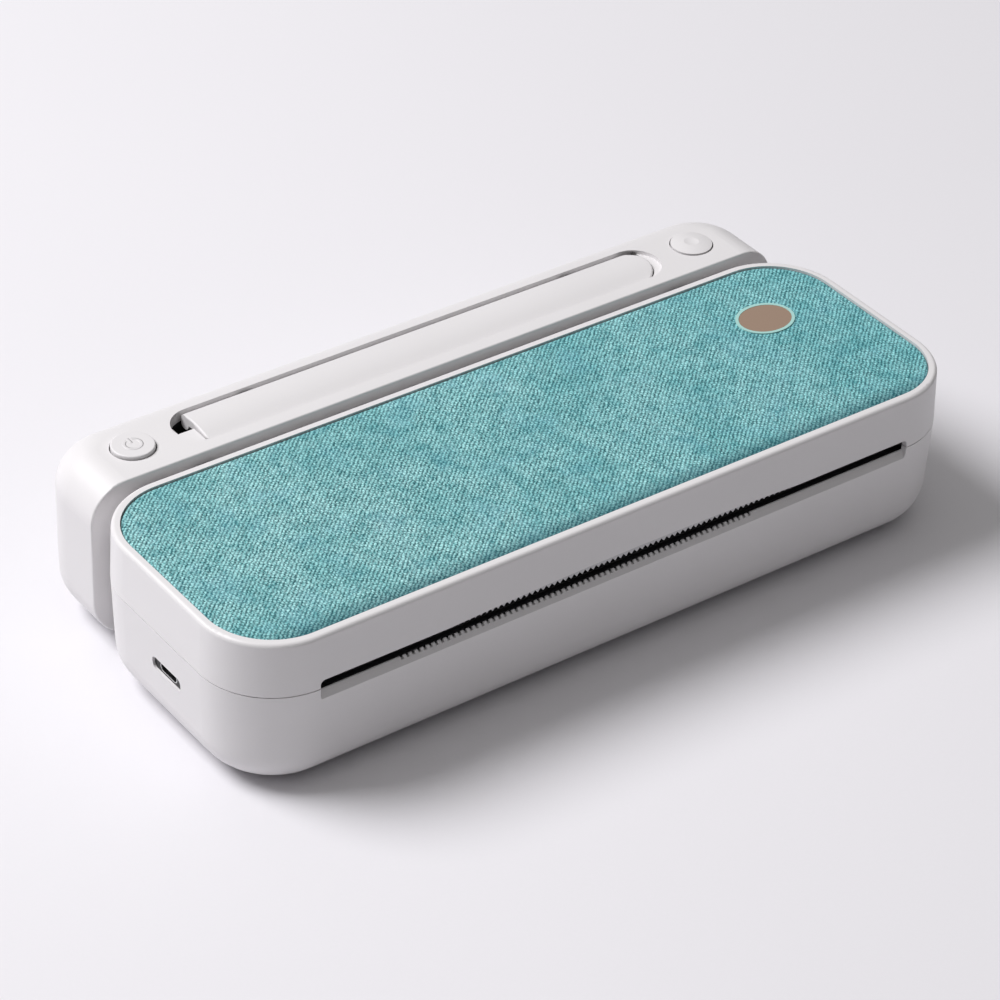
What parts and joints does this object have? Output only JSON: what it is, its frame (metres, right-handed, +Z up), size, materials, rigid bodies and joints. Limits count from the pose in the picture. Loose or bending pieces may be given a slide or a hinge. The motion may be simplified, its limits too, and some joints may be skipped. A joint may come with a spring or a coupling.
{
  "type": "portable thermal printer",
  "caption": "Long rounded desk-top thermal printer with a fabric-topped hinged cover over a paper-roll bay, a front paper slot, and a slim rear unit with a flap and round keys.",
  "frame": {"origin": "middle of the footprint at floor level, under the middle of the bounding box", "axes": "+Z up, +X along the printer's length, -Y towards the paper slot at the front"},
  "size_m": [0.264, 0.1248, 0.0573],
  "materials": {
    "white_shell": "satin, slightly warm white",
    "dark_plastic": "matte black",
    "pale_plastic": "plain natural plastic",
    "gear_plastic": "plain natural acetal",
    "teal_fabric": "woven, light and dark threads",
    "backing_board": "plain",
    "mint_plastic": "glossy",
    "tan_plastic": "glossy",
    "steel": "plain",
    "bright_steel": "bright nickel",
    "magnet": "nickel plated",
    "aluminium": "extruded",
    "brass": "turned",
    "rubber": "matte",
    "head_ceramic": "glazed strip",
    "circuit_board": "solder mask",
    "cell_wrap": "shrink wrap"
  },
  "bodies": {
    "base": {"base_shell": "white_shell", "rubber_feet": "rubber", "inner_tray": "dark_plastic", "tray_screws": "steel", "base_magnets": "magnet", "hinge_arms": "steel", "hinge_screws": "steel", "gear_bracket": "steel", "gear_clips": "steel", "bracket_screws": "steel", "motor_body": "steel", "head_bracket": "steel", "head_screws": "steel", "head_springs": "steel", "paper_sensor": "dark_plastic", "usb_receptacle": "bright_steel", "usb_tongue": "dark_plastic", "port_bezel": "dark_plastic", "usb_board": "circuit_board", "board_screws": "steel", "rear_housing": "white_shell", "rear_panel": "white_shell", "panel_screws": "steel", "link_spacers": "pale_plastic", "link_screws": "steel", "wire_grommet": "rubber", "button_boards": "circuit_board", "button_switches": "dark_plastic", "switch_screws": "steel", "flap_tray": "dark_plastic", "battery_cells": "cell_wrap", "battery_tray": "dark_plastic", "main_board": "circuit_board", "board_parts": "dark_plastic", "main_screws": "steel"},
    "cover": {"top_cover": "white_shell", "tear_bar": "pale_plastic", "fabric_backing": "backing_board", "fabric_panel": "teal_fabric", "badge_rim": "mint_plastic", "badge_plate": "tan_plastic", "cover_liner": "dark_plastic", "liner_screws": "steel", "platen_brackets": "steel", "platen_bushes": "pale_plastic", "cover_magnets": "magnet", "hinge_pins": "steel"},
    "platen": {"platen_shaft": "steel", "platen_roller": "rubber", "platen_gear": "gear_plastic"},
    "idler": {"idler_gear": "gear_plastic"},
    "reduction": {"reduction_gear": "gear_plastic"},
    "pinion": {"motor_pinion": "brass", "motor_shaft": "steel"},
    "print_head": {"heat_sink": "aluminium", "head_substrate": "head_ceramic"},
    "power_key": {"power_button": "white_shell"},
    "feed_key": {"feed_button": "white_shell"},
    "flap": {"rear_flap": "white_shell", "flap_pins": "steel"}
  },
  "joints": [
    {"name": "cover_hinge", "type": "hinge", "parent": "base", "child": "cover", "pos_m": [0, 0.02315, 0.05], "axis": [-1, 0, 0], "range_deg": [0, 85]},
    {"name": "platen_spin", "type": "hinge", "parent": "cover", "child": "platen", "pos_m": [0, -0.0475, 0.0423], "axis": [1, 0, 0], "continuous": true},
    {"name": "idler_spin", "type": "hinge", "parent": "base", "child": "idler", "pos_m": [0, -0.04568, 0.0256], "axis": [1, 0, 0], "continuous": true},
    {"name": "reduction_spin", "type": "hinge", "parent": "base", "child": "reduction", "pos_m": [0, -0.03313, 0.0215], "axis": [1, 0, 0], "continuous": true},
    {"name": "pinion_spin", "type": "hinge", "parent": "base", "child": "pinion", "pos_m": [0, -0.01902, 0.01862], "axis": [1, 0, 0], "continuous": true},
    {"name": "head_float", "type": "slide", "parent": "base", "child": "print_head", "axis": [0, 0, -1], "range_m": [0, 0.0008], "stiffness_N_per_m": 6000, "springref_m": -0.002, "deforming": ["head_springs"]},
    {"name": "power_press", "type": "slide", "parent": "base", "child": "power_key", "axis": [0, 0, -1], "range_m": [0, 0.0008], "stiffness_N_per_m": 800, "springref_m": -0.0012},
    {"name": "feed_press", "type": "slide", "parent": "base", "child": "feed_key", "axis": [0, 0, -1], "range_m": [0, 0.0008], "stiffness_N_per_m": 800, "springref_m": -0.0012},
    {"name": "flap_hinge", "type": "hinge", "parent": "base", "child": "flap", "pos_m": [0, 0.04795, 0.05355], "axis": [-1, 0, 0], "range_deg": [0, 65]}
  ],
  "couplings": [
    {"joint": "idler_spin", "follows": "platen_spin", "ratio": -0.75},
    {"joint": "reduction_spin", "follows": "platen_spin", "ratio": 2},
    {"joint": "pinion_spin", "follows": "platen_spin", "ratio": -6}
  ]
}
